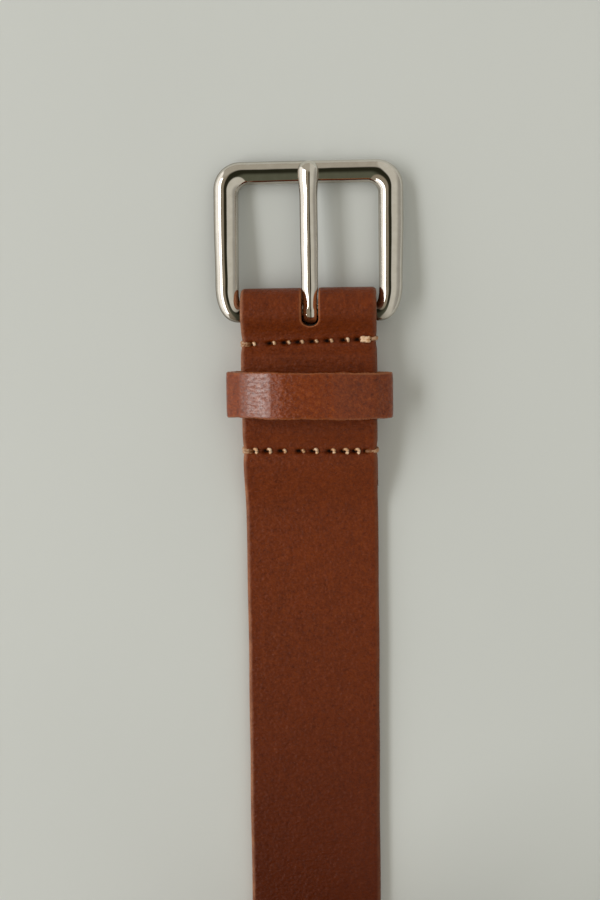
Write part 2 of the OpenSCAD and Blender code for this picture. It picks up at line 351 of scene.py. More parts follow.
def linked(name, points, faces):
    """A new linked object, with its faces turned outwards."""
    mesh = bpy.data.meshes.new(name)
    mesh.from_pydata(np.asarray(points).tolist(), [], faces)
    outward(mesh)
    made = bpy.data.objects.new(name, mesh)
    bpy.context.scene.collection.objects.link(made)
    return made


def new_piece(name, points, faces, material, sharp_deg):
    """A piece from points in millimetres from the heel bar, smooth but for sharp edges."""
    piece = linked(name, (np.asarray(points) + [0, HEEL_Y, 0]) * MM, faces)
    mesh = piece.data
    mesh.polygons.foreach_set("use_smooth", np.ones(len(mesh.polygons), bool))
    mesh.set_sharp_from_angle(angle=math.radians(sharp_deg))
    mesh.materials.append(material)
    triangles = sum(len(face.vertices) - 2 for face in mesh.polygons)
    print(name, len(mesh.vertices), "points,", triangles, "triangles")
    return piece


def attribute(piece, name, values):
    """Stores one number, or one vector, for each point of a piece, for its finish to read."""
    values = np.asarray(values, np.float32)
    if values.ndim == 2:
        made = piece.data.attributes.new(name, "FLOAT_VECTOR", "POINT")
        made.data.foreach_set("vector", values.ravel())
    else:
        made = piece.data.attributes.new(name, "FLOAT", "POINT")
        made.data.foreach_set("value", values)


def smooth(low, high, value):
    """0 below low and 1 above high, with a smooth rise between them."""
    share = np.clip((value - low) / (high - low), 0, 1)
    return share * share * (3 - 2 * share)


def along(path):
    """The distance along a path of points to each of its points."""
    steps = np.linalg.norm(np.diff(path, axis=0), axis=1)
    return np.concatenate([[0], np.cumsum(steps)])


def resampled(path, at, places):
    """A path's points at new distances along it, where at is the distance to each old one."""
    columns = [np.interp(places, at, path[:, axis]) for axis in range(path.shape[1])]
    return np.stack(columns, axis=-1)


def on_circle(angle):
    """Points of a circle of radius 1 at the given angles."""
    return np.stack([np.cos(angle), np.sin(angle)], axis=1)


# %% [markdown]
# ## The line that the strap follows
#
# Seen from the side, the strap starts at the cut end of the flap, runs forward under
# the top layer, turns back over the heel bar, dips at each row of stitches where the
# thread pulls the two layers together, rises a little between them over the keeper,
# lies flat, and then rolls up. Every point of the leather is placed by three numbers:
# its distance across, its distance along, and its height in the leather's thickness.

# %% The side view of the strap
FOLD_OUT = HEEL_Z
FOLD_IN = FOLD_OUT - STRAP_T
FOLD_MID = (FOLD_OUT + FOLD_IN) / 2
FOLD_Y = 0.7
FLAP_END = 50.0
LAYERS_END = 58.0
SEAM_HALF = 0.8
SEAM_LIFT = 0.95
SEAM_TOP = SEAM_LIFT + 2 * STRAP_T
POCKET_A, POCKET_B, POCKET_TOP = 13.2, 33.0, 9.6
ROLL_STEP = 2.4
BELT_SIZE = 860.0
TAIL_LEN = 150.0

seam_ends = [row + side for row in (ROW_FOLD, ROW_FLAP) for side in (-SEAM_HALF, SEAM_HALF)]
knots_back = [0.5, *seam_ends[:2], POCKET_A, POCKET_B, *seam_ends[2:]]
top_high = [2 * FOLD_OUT, SEAM_TOP, SEAM_TOP, POCKET_TOP, POCKET_TOP, SEAM_TOP, SEAM_TOP, STRAP_T]
under_high = [0, SEAM_LIFT, SEAM_LIFT, 0, 0, SEAM_LIFT, SEAM_LIFT, 0]
top_knots = np.stack([[*knots_back, LAYERS_END], top_high], axis=1)
under_knots = np.stack([[*knots_back, FLAP_END], under_high], axis=1)


def height(knots, back):
    """The height at a distance behind the heel bar: half a cosine wave from knot to knot."""
    at = np.clip(np.searchsorted(knots[:, 0], back) - 1, 0, len(knots) - 2)
    share = np.clip((back - knots[at, 0]) / (knots[at + 1, 0] - knots[at, 0]), 0, 1)
    return knots[at, 1] + (knots[at + 1, 1] - knots[at, 1]) * (1 - np.cos(np.pi * share)) / 2


def roll_line(length):
    """The rolled end, as half circles that each have a smaller radius than the last.

    Returns the points (y, z) and the directions of the leather's grain side, inwards.
    """
    turn, left, points, grain = 0, length, [], []
    while left > 0:
        radius = ROLL_R - ROLL_STEP * turn
        sweep = min(np.pi, left / radius)
        angle = np.linspace(0, sweep, int(radius * sweep / 0.2))[1:]
        middle = np.array([ROLL_Y, ROLL_OUT + (turn % 2) * ROLL_STEP])
        out = np.stack([-np.sin(angle), -np.cos(angle)], axis=1) * (1 - 2 * (turn % 2))
        points.append(middle + radius * out)
        grain.append(-out)
        left -= radius * sweep
        turn += 1
    return np.concatenate(points), np.concatenate(grain)


fine = 0.05
back_under = np.arange(FLAP_END, -FOLD_Y, -fine)
under = np.stack([-back_under, height(under_knots, back_under) + STRAP_T / 2], axis=1)
turn = np.linspace(-np.pi / 2, np.pi / 2, 300)
around = on_circle(turn)
fold = np.array([FOLD_Y, HEEL_Z]) + FOLD_MID * around
back_top = np.arange(-FOLD_Y + fine, -ROLL_Y, fine)
top = np.stack([-back_top, height(top_knots, back_top) - STRAP_T / 2], axis=1)
laid = np.concatenate([under, fold, top])
grain_down = np.tile([0.0, -1.0], (len(under), 1))
grain_up = np.tile([0.0, 1.0], (len(top), 1))
laid_grain = np.concatenate([grain_down, around, grain_up])
laid_along = along(laid)
fold_front = np.interp(0.0, turn, laid_along[len(under) : len(under) + len(fold)])
roll_length = BELT_SIZE + TAIL_LEN - (laid_along[-1] - fold_front)
rolled, rolled_grain = roll_line(roll_length)

LINE = np.concatenate([laid, rolled])
LINE_GRAIN = np.concatenate([laid_grain, rolled_grain])
LINE_AT = along(LINE)
TIP_AT = LINE_AT[-1]
MIDDLE_HOLE_AT = TIP_AT - TAIL_LEN
top_start = laid_along[len(under) + len(fold)]
print("strap", round(TIP_AT - fold_front, 1), "mm from fold to tip, roll", round(roll_length, 1))


def at_top(back):
    """The distance along the line of a place on the top layer, given behind the heel bar."""
    return np.interp(back, back_top, laid_along[len(under) + len(fold) :])


def at_under(back):
    """The distance along the line of a place on the flap underneath."""
    return np.interp(-back, -back_under, laid_along[: len(under)])


def placed_on_line(x, s, n):
    """Bends flat leather to its place: x across, s along the line, n towards the grain side."""
    place = resampled(LINE, LINE_AT, s) + n[:, None] * resampled(LINE_GRAIN, LINE_AT, s)
    return np.concatenate([x[:, None], place], axis=1)


# %% [markdown]
# ## The strap
#
# The real strap is cut flat, its edges are rounded and rubbed smooth, the tongue's slot
# and five holes are punched, and only then is it folded and rolled. It is made in that
# order here: a flat strip, a boolean cut for each punched opening with a rolled-over
# rim, then one formula that bends every point to its place. Cutting it flat keeps the
# rims even, which would be hard on a curved strip.

# %% Flat strip
EDGE_X = 1.25
EDGE_N = 1.15
HALF_T = STRAP_T / 2
TIP_LEN = 32.0
TIP_POWER = 2.3


def strap_section():
    """The strip's section as (x, n): a grain side, a rounded edge, a flesh side, an edge."""
    flat = HALF_W - EDGE_X
    grain = np.stack([np.linspace(-flat, flat, 109), np.full(109, HALF_T)], axis=1)
    bend = np.radians(np.linspace(90, 0, 6))[1:]
    upper = np.stack([flat + EDGE_X * np.cos(bend), HALF_T - EDGE_N * (1 - np.sin(bend))], axis=1)
    right = np.concatenate([upper, [[HALF_W, 0.0]], upper[::-1] * [1, -1]])
    flesh = np.stack([np.linspace(flat, -flat, 31), np.full(31, -HALF_T)], axis=1)
    return np.concatenate([grain, right, flesh, right[::-1] * [-1, 1]])


def spaced(start, stop, step):
    """Evenly spaced places from start to stop, no more than a step apart, without the last."""
    return np.linspace(start, stop, max(2, int(abs(stop - start) / step) + 1))[:-1]


tip_start = TIP_AT - TIP_LEN
near_rows = [at_top(row + side) for row in (ROW_FOLD, ROW_FLAP) for side in (-1.8, 1.8)]
stretches = [(0.0, 1.6), (at_under(6.0), 0.6), (at_under(-FOLD_Y), 0.45), (top_start, 0.5)]
stretches += list(zip(near_rows, [0.2, 0.8, 0.2, 0.9]))
stretches += [(at_top(LAYERS_END), 1.9), (laid_along[-1], 3.1), (tip_start, 0)]
runs = [spaced(one[0], other[0], one[1]) for one, other in zip(stretches[:-1], stretches[1:])]
tip_run = TIP_LEN * np.sin(np.linspace(0, 0.4995 * np.pi, 26))
stations = np.concatenate([*runs, tip_start + tip_run])
section = strap_section()
tip_share = np.clip((stations - tip_start) / TIP_LEN, 0, 1)
narrow = (1 - tip_share**TIP_POWER) ** (1 / TIP_POWER)
flat_x = section[None, :, 0] * narrow[:, None]
flat_s = np.broadcast_to(stations[:, None], flat_x.shape)
end_round = np.sqrt(np.clip(1 - (1 - np.clip((TIP_AT - stations) / EDGE_X, 0, 1)) ** 2, 0.05, 1))
flat_n = section[None, :, 1] * np.where(stations > tip_start, end_round, 1)[:, None]
flat_points, flat_faces = joined([np.stack([flat_x, flat_s, flat_n], axis=-1)])
print("flat strip", len(stations), "rows of", len(section))

# %% [markdown]
# The tongue's slot is a long opening with round ends that runs from the top layer over
# the fold and down to the flap. The holes are round. Each cutter is the opening's
# outline, carried through the thickness and flared at both faces.

# %% Punched openings
SLOT_HALF = 2.45
SLOT_SHIFT = 0.5
SLOT_UNDER_HALF = 2.2
SLOT_END = 4.3
HOLE_R = 2.4
HOLE_PITCH = 25.4
RIM = 0.5
HOLE_COUNT = 5


def cutter(outline, outwards):
    """A punch: the outline at each height, pushed outwards near both faces of the leather.

    The push is RIM minus a quarter circle of radius RIM, and then goes on at a slope.
    """
    lift = np.linspace(0, 1, 6) * RIM
    face = HALF_T - RIM + lift
    push = RIM - np.sqrt(np.clip(RIM**2 - lift**2, 0, None))
    levels = np.concatenate([[-HALF_T - RIM], -face[::-1], [0.0], face, [HALF_T + RIM]])
    pushes = np.concatenate([[2 * RIM], push[::-1], [0.0], push, [2 * RIM]])
    spread = outline[None] + pushes[:, None, None] * outwards[None]
    high = np.broadcast_to(levels[:, None, None], (*spread.shape[:2], 1))
    return np.concatenate([spread, high], axis=-1)


def stadium(start, stop, half, step):
    """A long round-ended outline about x = 0, from start to stop, and its outward directions."""
    cap = on_circle(np.linspace(0, np.pi, 25))
    straight = spaced(start + half, stop - half, step)[1:]
    ones = np.ones_like(straight)
    right = np.stack([half * ones, straight], axis=1)
    left = np.stack([-half * ones, straight[::-1]], axis=1)
    outline = np.concatenate([right, cap * half + [0, stop - half], left, -cap * half + [0, start + half]])
    outwards = np.concatenate([np.stack([ones, 0 * ones], 1), cap, np.stack([-ones, 0 * ones], 1), -cap])
    return outline, outwards


slot_start, slot_stop = at_under(SLOT_END), at_top(SLOT_END)
slot_outline, slot_outwards = stadium(slot_start, slot_stop, SLOT_HALF, 0.45)


def slot_share(s):
    """How wide the slot is at a place along the line, as a share of its full width."""
    least = SLOT_UNDER_HALF / SLOT_HALF
    return least + (1 - least) * smooth(fold_front - 1.2, fold_front + 0.5, s)


slot_outline[:, 0] = slot_outline[:, 0] * slot_share(slot_outline[:, 1]) + SLOT_SHIFT
punches = [cutter(slot_outline, slot_outwards)]
hole_places = MIDDLE_HOLE_AT + HOLE_PITCH * (np.arange(HOLE_COUNT) - HOLE_COUNT // 2)
ring = on_circle(np.linspace(0, 2 * np.pi, 40, endpoint=False))
punches += [cutter(ring * HOLE_R + [0, place], ring) for place in hole_places]

# Both helpers are in flat millimetres, and are only there for the boolean.
strip = linked("flat_strip", flat_points, flat_faces)
punch = linked("flat_punch", *joined(punches))
cut = strip.modifiers.new("punched", "BOOLEAN")
cut.operation = "DIFFERENCE"
cut.solver = "MANIFOLD"
cut.object = punch
punched = bpy.data.meshes.new_from_object(strip.evaluated_get(bpy.context.evaluated_depsgraph_get()))
strap_flat = np.zeros(len(punched.vertices) * 3, np.float32)
punched.vertices.foreach_get("co", strap_flat)
strap_flat = strap_flat.reshape(-1, 3).astype(float)
strap_faces = [list(face.vertices) for face in punched.polygons]
for helper in (strip, punch):
    bpy.data.objects.remove(helper)
print("punched strip", len(strap_flat), "points")

# %% [markdown]
# ## Stitch places
#
# The holes were made by hand with an awl, so they are not quite evenly spaced, and the
# rows are not quite square to the edge. The leather is pulled in round each hole and
# the thread lies in a shallow groove.

# %% Stitch places and the leather round them
FOLD_HOLES = np.array([-16.6, -11.0, -6.9, -3.1, 0.9, 5.1, 9.7, 13.6, 17.3])
FLAP_HOLES = np.array([-16.4, -12.5, -8.4, -3.2, 0.7, 5.5, 9.3, 12.5, 15.9])
FOLD_SLANT = -0.030
FLAP_SLANT = 0.010
AWL_ACROSS = 1.10
AWL_ALONG = 0.60
AWL_DEPTH = 1.1
GROOVE_HALF = 0.62
GROOVE_DEPTH = 0.24
PULL_IN = 0.32
SEAMS = [(ROW_FOLD, FOLD_HOLES, FOLD_SLANT), (ROW_FLAP, FLAP_HOLES, FLAP_SLANT)]


def row_back(row, slant, x):
    """How far behind the heel bar a row of stitches is, at a place across the strap."""
    return row + slant * x


def seam_shape(x, s):
    """How far the grain side is sunk, and how much painted shade darkens it, at flat places on the top
    layer.

    Each awl hole is a deep round dimple with a painted shade at its middle, and the thread's groove is a
    shallow channel.
    """
    sunk, hole_shade = np.zeros_like(x), np.zeros_like(x)
    for row, holes, slant in SEAMS:
        off = s - at_top(row_back(row, slant, x))
        groove = np.exp(-((off / GROOVE_HALF) ** 2)) * (1 - smooth(16.8, 18.4, np.abs(x)))
        sunk = sunk + GROOVE_DEPTH * groove
        for hole in holes:
            spread = ((x - hole) / AWL_ACROSS) ** 2 + (off / AWL_ALONG) ** 2
            sunk = sunk + AWL_DEPTH * np.exp(-spread)
            # painted shade: the middle of each awl hole is made near black
            hole_shade = np.maximum(hole_shade, np.exp(-((spread / 0.75) ** 2)))
    return sunk, hole_shade


def flap_flesh(back):
    """The flap's flesh side, thinned so that the top layer can come down over its end."""
    room = height(top_knots, back) - STRAP_T - height(under_knots, back)
    return HALF_T - np.minimum(STRAP_T, room)


def ripple(x, s):
    """The slow unevenness of thick leather that has been bent and handled."""
    long_wave = np.sin(s * 0.083 + 1.3) * np.cos(x * 0.11 + s * 0.021)
    short_wave = np.sin(s * 0.29 + x * 0.13) * np.sin(x * 0.23 - s * 0.07 + 0.8)
    return 0.06 * long_wave + 0.035 * short_wave


sx, ss, sn = strap_flat.T
on_top = smooth(top_start - 1, top_start + 1, ss)
grain_side = smooth(0.2, HALF_T, sn)
flesh_side = smooth(0.2, HALF_T, -sn)
sunk, awl_hole_shade = seam_shape(sx, ss)
dent = 0.16 * np.exp(-(((sx + 14.3) / 1.6) ** 2) - ((ss - at_top(11.6)) / 2.4) ** 2)
crease = 0.05 * np.exp(-((ss - at_top(112.0) - 1.1 * sx) / 1.1) ** 2 - ((sx + 1) / 5) ** 2)
shaped_n = sn - grain_side * on_top * (sunk + dent + crease) + grain_side * ripple(sx, ss)
under_back = np.interp(ss, laid_along[: len(under)], back_under)
on_flap = ss < at_under(4.0)
flap_n = np.where(flesh_side > 0, sn + flesh_side * (flap_flesh(under_back) + HALF_T), sn)
shaped_n = np.where(on_flap, flap_n, shaped_n)

pull = np.zeros_like(ss)
for row in (ROW_FOLD, ROW_FLAP):
    for row_at in (at_top(row), at_under(row)):
        pull += PULL_IN * np.exp(-(((ss - row_at) / 1.5) ** 2))
wander = 0.10 * np.sin(ss * 0.047 + 0.5) + 0.05 * np.sin(ss * 0.19 + 2.0)
near_edge = smooth(HALF_W - 5, HALF_W, np.abs(sx))
shaped_x = sx - np.sign(sx) * near_edge * pull + near_edge * np.where(ss < tip_start, wander, 0)
strap_points = placed_on_line(shaped_x, ss, shaped_n)
print("seams shaped", round(float(sunk.max()), 2), "mm at the deepest")

# %% [markdown]
# ## Leather finishes
#
# Vegetable-tanned leather has three faces. The grain side is dyed a warm red-brown and
# waxed, with fine pebbles, pores and faint wrinkles. The cut edges are rubbed smooth and
# paler; the left one carries that pale tone fully as a painted highlight, as it faces the
# window, and the right one only a little, as painted shade. The flesh side is paler and
# fibrous. All three are one material, because they are one piece: stored numbers say which
# face a point is on, and where rubbing has polished the wax.
# The patterns are read from the leather's own flat places, so that they follow every
# bend, as they do on the real hide.


# %% Leather
def leather_finish(name, tones, flesh_tones, sheen, relief_depth, mottling, shade_span):
    """Leather from the stored numbers flat, edge, flesh, cut, awl and polish.

    tones are the grain side's two main colours, a pale, a dark, and the tone of a painted
    shade. sheen is the roughness and the index of refraction of the wax, mottling how far
    the dye is uneven, and shade_span the two places along the line between which that
    painted shade darkens the grain side more and more.
    """
    material, bench, shader = finish_bench(name)
    tones = [colour(*tone) for tone in tones]
    flesh_tones = [colour(*tone) for tone in flesh_tones]
    flat = bench.stored("flat", 1)
    edge, flesh, cut, awl = [bench.stored(face) for face in ("edge", "flesh", "cut", "awl")]
    broad = bench.noise(flat, 0.035, 3.0)
    patch = bench.noise(flat, 0.21, 4.0, 0.6)
    speck = bench.noise(flat, 2.6, 3.0, 0.6)
    pebble_sockets = {"Vector": flat, "Scale": 1.15, "Randomness": 1.0}
    pebble = bench.node("ShaderNodeTexVoronoi", {"feature": "SMOOTH_F1"}, pebble_sockets)
    slanted = {"Vector": flat, "Rotation": (0.0, 0.0, 0.55), "Scale": (0.55, 1.5, 1.0)}
    wrinkle = bench.noise(bench.node("ShaderNodeMapping", {}, slanted), 1.0, 5.0, 0.62)
    mottle = bench.noise(flat, 0.8, 6.0, 0.78)
    pore = bench.node("ShaderNodeTexVoronoi", {}, {"Vector": flat, "Scale": 1.9, "Randomness": 1.0})
    pore_pit = 1 - bench.step(pore, 0.08, 0.24)

    shade = bench.step(broad * 0.45 + patch * 0.55, 0.3, 0.7)
    grain = bench.mix(shade, tones[0], tones[1])
    grain = bench.mix(bench.step(speck, 0.35, 0.75) * 0.45, grain, tones[2])
    grain = bench.mix(pore_pit * 0.35, grain, tones[3])
    grain = bench.mix(bench.step(mottle, 0.50, 0.72) * mottling, grain, tones[3])
    grain = bench.mix(bench.step(0 - mottle, -0.50, -0.30) * mottling, grain, tones[2])
    place = bench.node("ShaderNodeSeparateXYZ", {}, {0: flat}, 1)
    # painted shade: the grain side darkens between the two places along the line
    grain = bench.mix(bench.step(place, *shade_span) * 0.7, grain, tones[4])
    # the rubbed edges' own paler tone, made lighter still as a painted highlight
    rubbed_and_lit_edge_tone = bench.mix(bench.step(patch, 0.35, 0.65), colour(138, 86, 58), colour(172, 116, 82))
    fibre = bench.noise(bench.mapped(flat, (1.6, 0.35, 1.0)), 1.4, 5.0, 0.7)
    fleshy = bench.mix(bench.step(fibre, 0.3, 0.72), flesh_tones[0], flesh_tones[1])
    surface = bench.mix(edge * 0.75, grain, rubbed_and_lit_edge_tone)
    surface = bench.mix(flesh, surface, fleshy)
    surface = bench.mix(cut * 0.8, surface, flesh_tones[2])

    rough = sheen[0] + wrinkle * 0.14 + edge * 0.06
    rough = bench.maths("MAXIMUM", rough, flesh * 0.88)
    rough = bench.maths("MAXIMUM", rough, cut * 0.75)

    relief = pebble * 0.55 + wrinkle * 0.8 - pore_pit * 0.35 + speck * 0.18
    relief = relief * (1 - flesh) + fibre * flesh * 1.6
    looks = {
        # awl: painted shade, near black in the middle of each awl hole
        "Base Color": bench.mix(awl, surface, colour(18, 8, 4)),
        "Roughness": bench.maths("MAXIMUM", rough, awl * 0.9),
        "Normal": bench.bump(relief, 0.9, relief_depth),
        "IOR": sheen[1],
        "Coat Weight": bench.stored("polish") * (0.14 + bench.step(wrinkle, 0.36, 0.64) * 0.9),
        "Coat Roughness": 0.14,
        "Coat IOR": 1.6,
    }
    bench.dress(shader, looks)
    return material


strap_tones = [(98, 38, 5), (111, 44, 6), (131, 60, 18), (70, 22, 2), (68, 20, 2)]
strap_flesh = [(150, 100, 62), (186, 134, 90), (172, 104, 62)]
# painted shade from 60 to 185 mm behind the heel bar, for the light and sheen that fall off away from the
# buckle
strap_shade_span = (float(at_top(60.0)), float(at_top(185.0)))
strap_leather = leather_finish(
    "strap_leather_look", strap_tones, strap_flesh, (0.28, 1.30), 0.00038, 0.7, strap_shade_span
)
keeper_tones = [(109, 42, 6), (126, 51, 9), (154, 76, 26), (68, 22, 3), (84, 34, 8)]
keeper_flesh = [(146, 96, 58), (176, 122, 80), (176, 112, 68)]
# the keeper gets no painted shade along its length
NO_SHADE_SPAN = (1300.0, 1500.0)
keeper_leather = leather_finish(
    "keeper_leather_look", keeper_tones, keeper_flesh, (0.14, 1.42), 0.00030, 0.8, NO_SHADE_SPAN
)

# %% The strap's piece
strap = new_piece("strap_skin", strap_points, strap_faces, strap_leather, 55)
attribute(strap, "flat", np.stack([sx, ss, sn], axis=1))
width_share = np.maximum(np.interp(ss, stations, narrow), 0.1)
side_share = smooth(HALF_W - EDGE_X, HALF_W - 0.35, np.abs(sx) / width_share)
bare_edge = np.maximum(side_share, smooth(TIP_AT - 1.2, TIP_AT - 0.2, ss))
# painted light: the pale edge tone is full on the left edge, which faces the window, and weak on the right
# edge, which is in shade
attribute(strap, "edge", bare_edge * np.where(sx < 0, 1.0, 0.3))
attribute(strap, "flesh", smooth(-0.9, -1.6, sn) * (1 - smooth(0.55, 0.95, side_share)))
slot_middle, slot_len = (slot_start + slot_stop) / 2, slot_stop - slot_start
slot_reach = np.maximum(np.abs(ss - slot_middle) - slot_len / 2 + SLOT_HALF, 0)
slot_off = np.hypot((sx - SLOT_SHIFT) / slot_share(ss), slot_reach) - SLOT_HALF
hole_off = np.min(np.hypot(sx[:, None], ss[:, None] - hole_places[None]), axis=1) - HOLE_R
attribute(strap, "cut", 1 - smooth(0.12, 0.62, np.minimum(slot_off, hole_off)))
# painted shade in the awl holes, on the top layer's grain side
attribute(strap, "awl", awl_hole_shade * grain_side * on_top)
attribute(strap, "polish", 0 * ss)
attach(strap, "strap")
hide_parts("strap")

# %% [markdown]
# ## The buckle's frame
#
# The frame is one bar bent round: broad half-oval sides and front with a domed top and
# a flatter base, which taper at the back and turn into a thin round heel bar inside the
# fold. It is a section carried round between two outlines, an outer and an inner one
# that are matched point for point, so the bar's width can change as it goes.

# %% Frame outlines
FRAME_TILT = math.radians(4.908)
FRONT_OUT = 42.2
FRONT_BAR = 6.3
OPENING_HALF = 19.7
CORNER_OUT = 7.6
CORNER_IN = 3.0
HEEL_R = 2.0
CROWN_H = 2.6
BASE_H = 2.2
HEEL_TURN = 8.0
HEEL_SHOULDER = 19.3
SIDE_DRAW = 0.35
BAR_STEPS = 44


def tilted(x, u, w):
    """From the frame's own plane (u forward, w up from the heel bar) to its place at rest."""
    y = u * math.cos(FRAME_TILT) + w * math.sin(FRAME_TILT)
    z = HEEL_Z - u * math.sin(FRAME_TILT) + w * math.cos(FRAME_TILT)
    return np.stack([x, y, z], axis=-1)


def super_arc(middle, reach_x, reach_u, power, steps):
    """A quarter of a superellipse, from the side of its middle round to behind it."""
    bend = np.linspace(0, np.pi / 2, steps)[1:]
    x = middle[0] + reach_x * np.cos(bend) ** (2 / power)
    return np.stack([x, middle[1] - reach_u * np.sin(bend) ** (2 / power)], axis=1)


def line(start, stop, steps):
    """Even places from start to stop, without the first."""
    return np.linspace(start, stop, steps)[1:]


corner_ring = on_circle(np.linspace(np.pi / 2, 0, 26)[1:])
out_middle = np.array([FRAME_HALF - CORNER_OUT, FRONT_OUT - CORNER_OUT])
in_front = FRONT_OUT - FRONT_BAR
in_middle = np.array([OPENING_HALF - CORNER_IN, in_front - CORNER_IN])
side_out = line([FRAME_HALF, out_middle[1]], [FRAME_HALF, HEEL_TURN], 30)
side_out[:, 0] -= SIDE_DRAW * smooth(26, HEEL_TURN, side_out[:, 1])
side_in = line([OPENING_HALF, in_middle[1]], [OPENING_HALF, 5.2], 30)
heel_reach = FRAME_HALF - SIDE_DRAW - HEEL_SHOULDER
outer = np.concatenate(
    [
        np.linspace([0, FRONT_OUT], [out_middle[0], FRONT_OUT], 24),
        out_middle + CORNER_OUT * corner_ring,
        side_out,
        super_arc([HEEL_SHOULDER, HEEL_TURN], heel_reach, 11.05, 2.35, 30),
        line([HEEL_SHOULDER, -3.05], [18.2, -2.35], 4),
        line([18.2, -2.35], [17.4, -HEEL_R], 4),
        line([17.4, -HEEL_R], [0, -HEEL_R], 17),
    ]
)
inner = np.concatenate(
    [
        np.linspace([0, in_front], [in_middle[0], in_front], 24),
        in_middle + CORNER_IN * corner_ring,
        side_in,
        super_arc([18.8, 5.2], 0.9, 3.1, 2.2, 30),
        line([18.8, 2.1], [18.3, HEEL_R], 4),
        line([18.3, HEEL_R], [0, HEEL_R], 20),
    ]
)
heel_turning = smooth(0.25, 1.0, np.linspace(0, 1, 29))
heel_share = np.concatenate([np.zeros(24 + 25 + 29), heel_turning, np.ones(3 + 19)])


def both_sides(half, flip):
    """A right half and its mirror image, as one closed loop."""
    mirror = half[-2:0:-1] * flip
    return np.concatenate([half, mirror])


outer_loop = both_sides(outer, [-1, 1])
inner_loop = both_sides(inner, [-1, 1])
share_loop = both_sides(heel_share[:, None], [1])


def bar_section(steps):
    """Angles round the bar's section: 0 is the outer edge and a quarter turn is the crown."""
    return np.linspace(0, 2 * np.pi, steps, endpoint=False)


def bar_surface(outer_line, inner_line, share):
    """A half-oval bar between two outlines.

    Across, a point goes from the inner to the outer outline as the cosine of its angle.
    Its height is the sine of the angle to a power: an oval above, a flatter one below.
    """
    angle = bar_section(BAR_STEPS)[None, :, None]
    across, rise = np.cos(angle), np.sin(angle)
    middle = ((outer_line + inner_line) / 2)[:, None]
    reach = ((outer_line - inner_line) / 2)[:, None]
    share = share[:, None]
    crown = CROWN_H + (HEEL_R - CROWN_H) * share
    base = BASE_H + (HEEL_R - BASE_H) * share
    wide = 2 / (3.2 - 1.2 * share)
    spread = np.where(rise < 0, np.sign(across) * np.abs(across) ** wide, across)
    plan = middle + reach * spread
    lift = np.where(rise > 0, crown * np.abs(rise), -base * np.abs(rise) ** wide)
    return tilted(plan[..., 0], plan[..., 1], lift[..., 0])


# %% [markdown]
# Nickel plate is hard and bright, with a warmer tone than chrome. It has hairline
# scratches from wear and a very slight waviness from polishing. Low on the bars' flanks
# and round the heel bar, a dull brown painted shade stands in for the shadowed leather and
# dark room that the metal reflects there.


# %% Nickel
def nickel_finish(name):
    """Polished plate: slow waviness, fine scratches, a tint that comes and goes, and a stored painted
    shade.
    """
    material, bench, shader = finish_bench(name)
    where = bench.node("ShaderNodeTexCoord", output=3)
    wave = bench.noise(where, 130.0, 1.0)
    smear = bench.noise(where, 420.0, 4.0, 0.6)
    scratch = bench.noise(bench.mapped(where, (1.0, 0.06, 1.0)), 5200.0, 2.0)
    smeared = bench.step(smear, 0.35, 0.75)
    tint = bench.mix(smeared, (0.725, 0.68, 0.605, 1), (0.785, 0.745, 0.675, 1))
    looks = {
        # painted shade: the stored share turns the metal dark brown where it would reflect shadowed
        # leather and the dark room
        "Base Color": bench.mix(bench.stored("metal_painted_shade") * 0.9, tint, (0.15, 0.115, 0.08, 1)),
        "Metallic": 1.0,
        "Roughness": 0.03 + bench.step(scratch, 0.6, 0.8) * 0.04 + smear * 0.02,
        "Normal": bench.bump(wave, 0.5, 0.00035),
    }
    bench.dress(shader, looks)
    return material


nickel = nickel_finish("nickel_look")
frame_points, frame_faces = joined([bar_surface(outer_loop, inner_loop, share_loop)], loop=True)
buckle = new_piece("buckle_frame_skin", frame_points, frame_faces, nickel, 80)
bar_angle = bar_section(BAR_STEPS)
# painted shade, low on the bars' flanks (strongest on the left outer side) and round the heel bar, for the
# dark surroundings the metal reflects there
frame_flank = 1 - smooth(0.36, 0.62, np.sin(bar_angle))
on_outside = np.cos(bar_angle)[None] > 0
shade_by_side = np.where(on_outside, np.where(outer_loop[:, :1] < 0, 1.0, 0.35), 0.45)
attribute(buckle, "metal_painted_shade", np.maximum(frame_flank * shade_by_side, 0.85 * share_loop**3).ravel())
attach(buckle, "buckle_frame")
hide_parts("buckle_frame")

# %% [markdown]
# ## The tongue
#
# The tongue is a bar that is curled round the heel bar at one end. Its neck is narrow
# where it passes through the slot, it widens at two shoulders, and its rounded tip
# bends down over the front of the frame. It is a section carried along that line: a
# radial one round the curl, and an upright one along the blade.

# %% Tongue
EYE_IN, EYE_OUT = 2.05, 3.75
TONGUE_LEN = FRONT_OUT - 0.5
NECK_HALF, BLADE_HALF, TIP_HALF = 1.95, 2.35, 2.8
CREST_SHIFT = 0.16
ROOF = 0.25
TONGUE_LEAN = 0.5
BLADE_SWELL = 0.15
CURL_STEPS = 60
tongue_under = np.array(
    [[-1, 2.05], [5, 2.15], [20, 2.5], [36, 2.82], [39.1, 2.9], [40.5, 2.5], [41.2, 2.05], [41.7, 1.75]]
)
tongue_over = np.array(
    [[-1, 3.75], [8, 4.2], [20, 4.85], [33, 5.3], [38.3, 5.25], [40.2, 4.75], [41.3, 3.6], [41.7, 2.5]]
)


def eased_line(knots, u):
    """A smooth line through knots: straight pieces, averaged over a short reach."""
    reach = np.linspace(-1.2, 1.2, 13)
    fade = np.clip((TONGUE_LEN - u) / 1.5, 0.05, 1)[:, None]
    return np.interp(u[:, None] + reach * fade, knots[:, 0], knots[:, 1]).mean(axis=1)


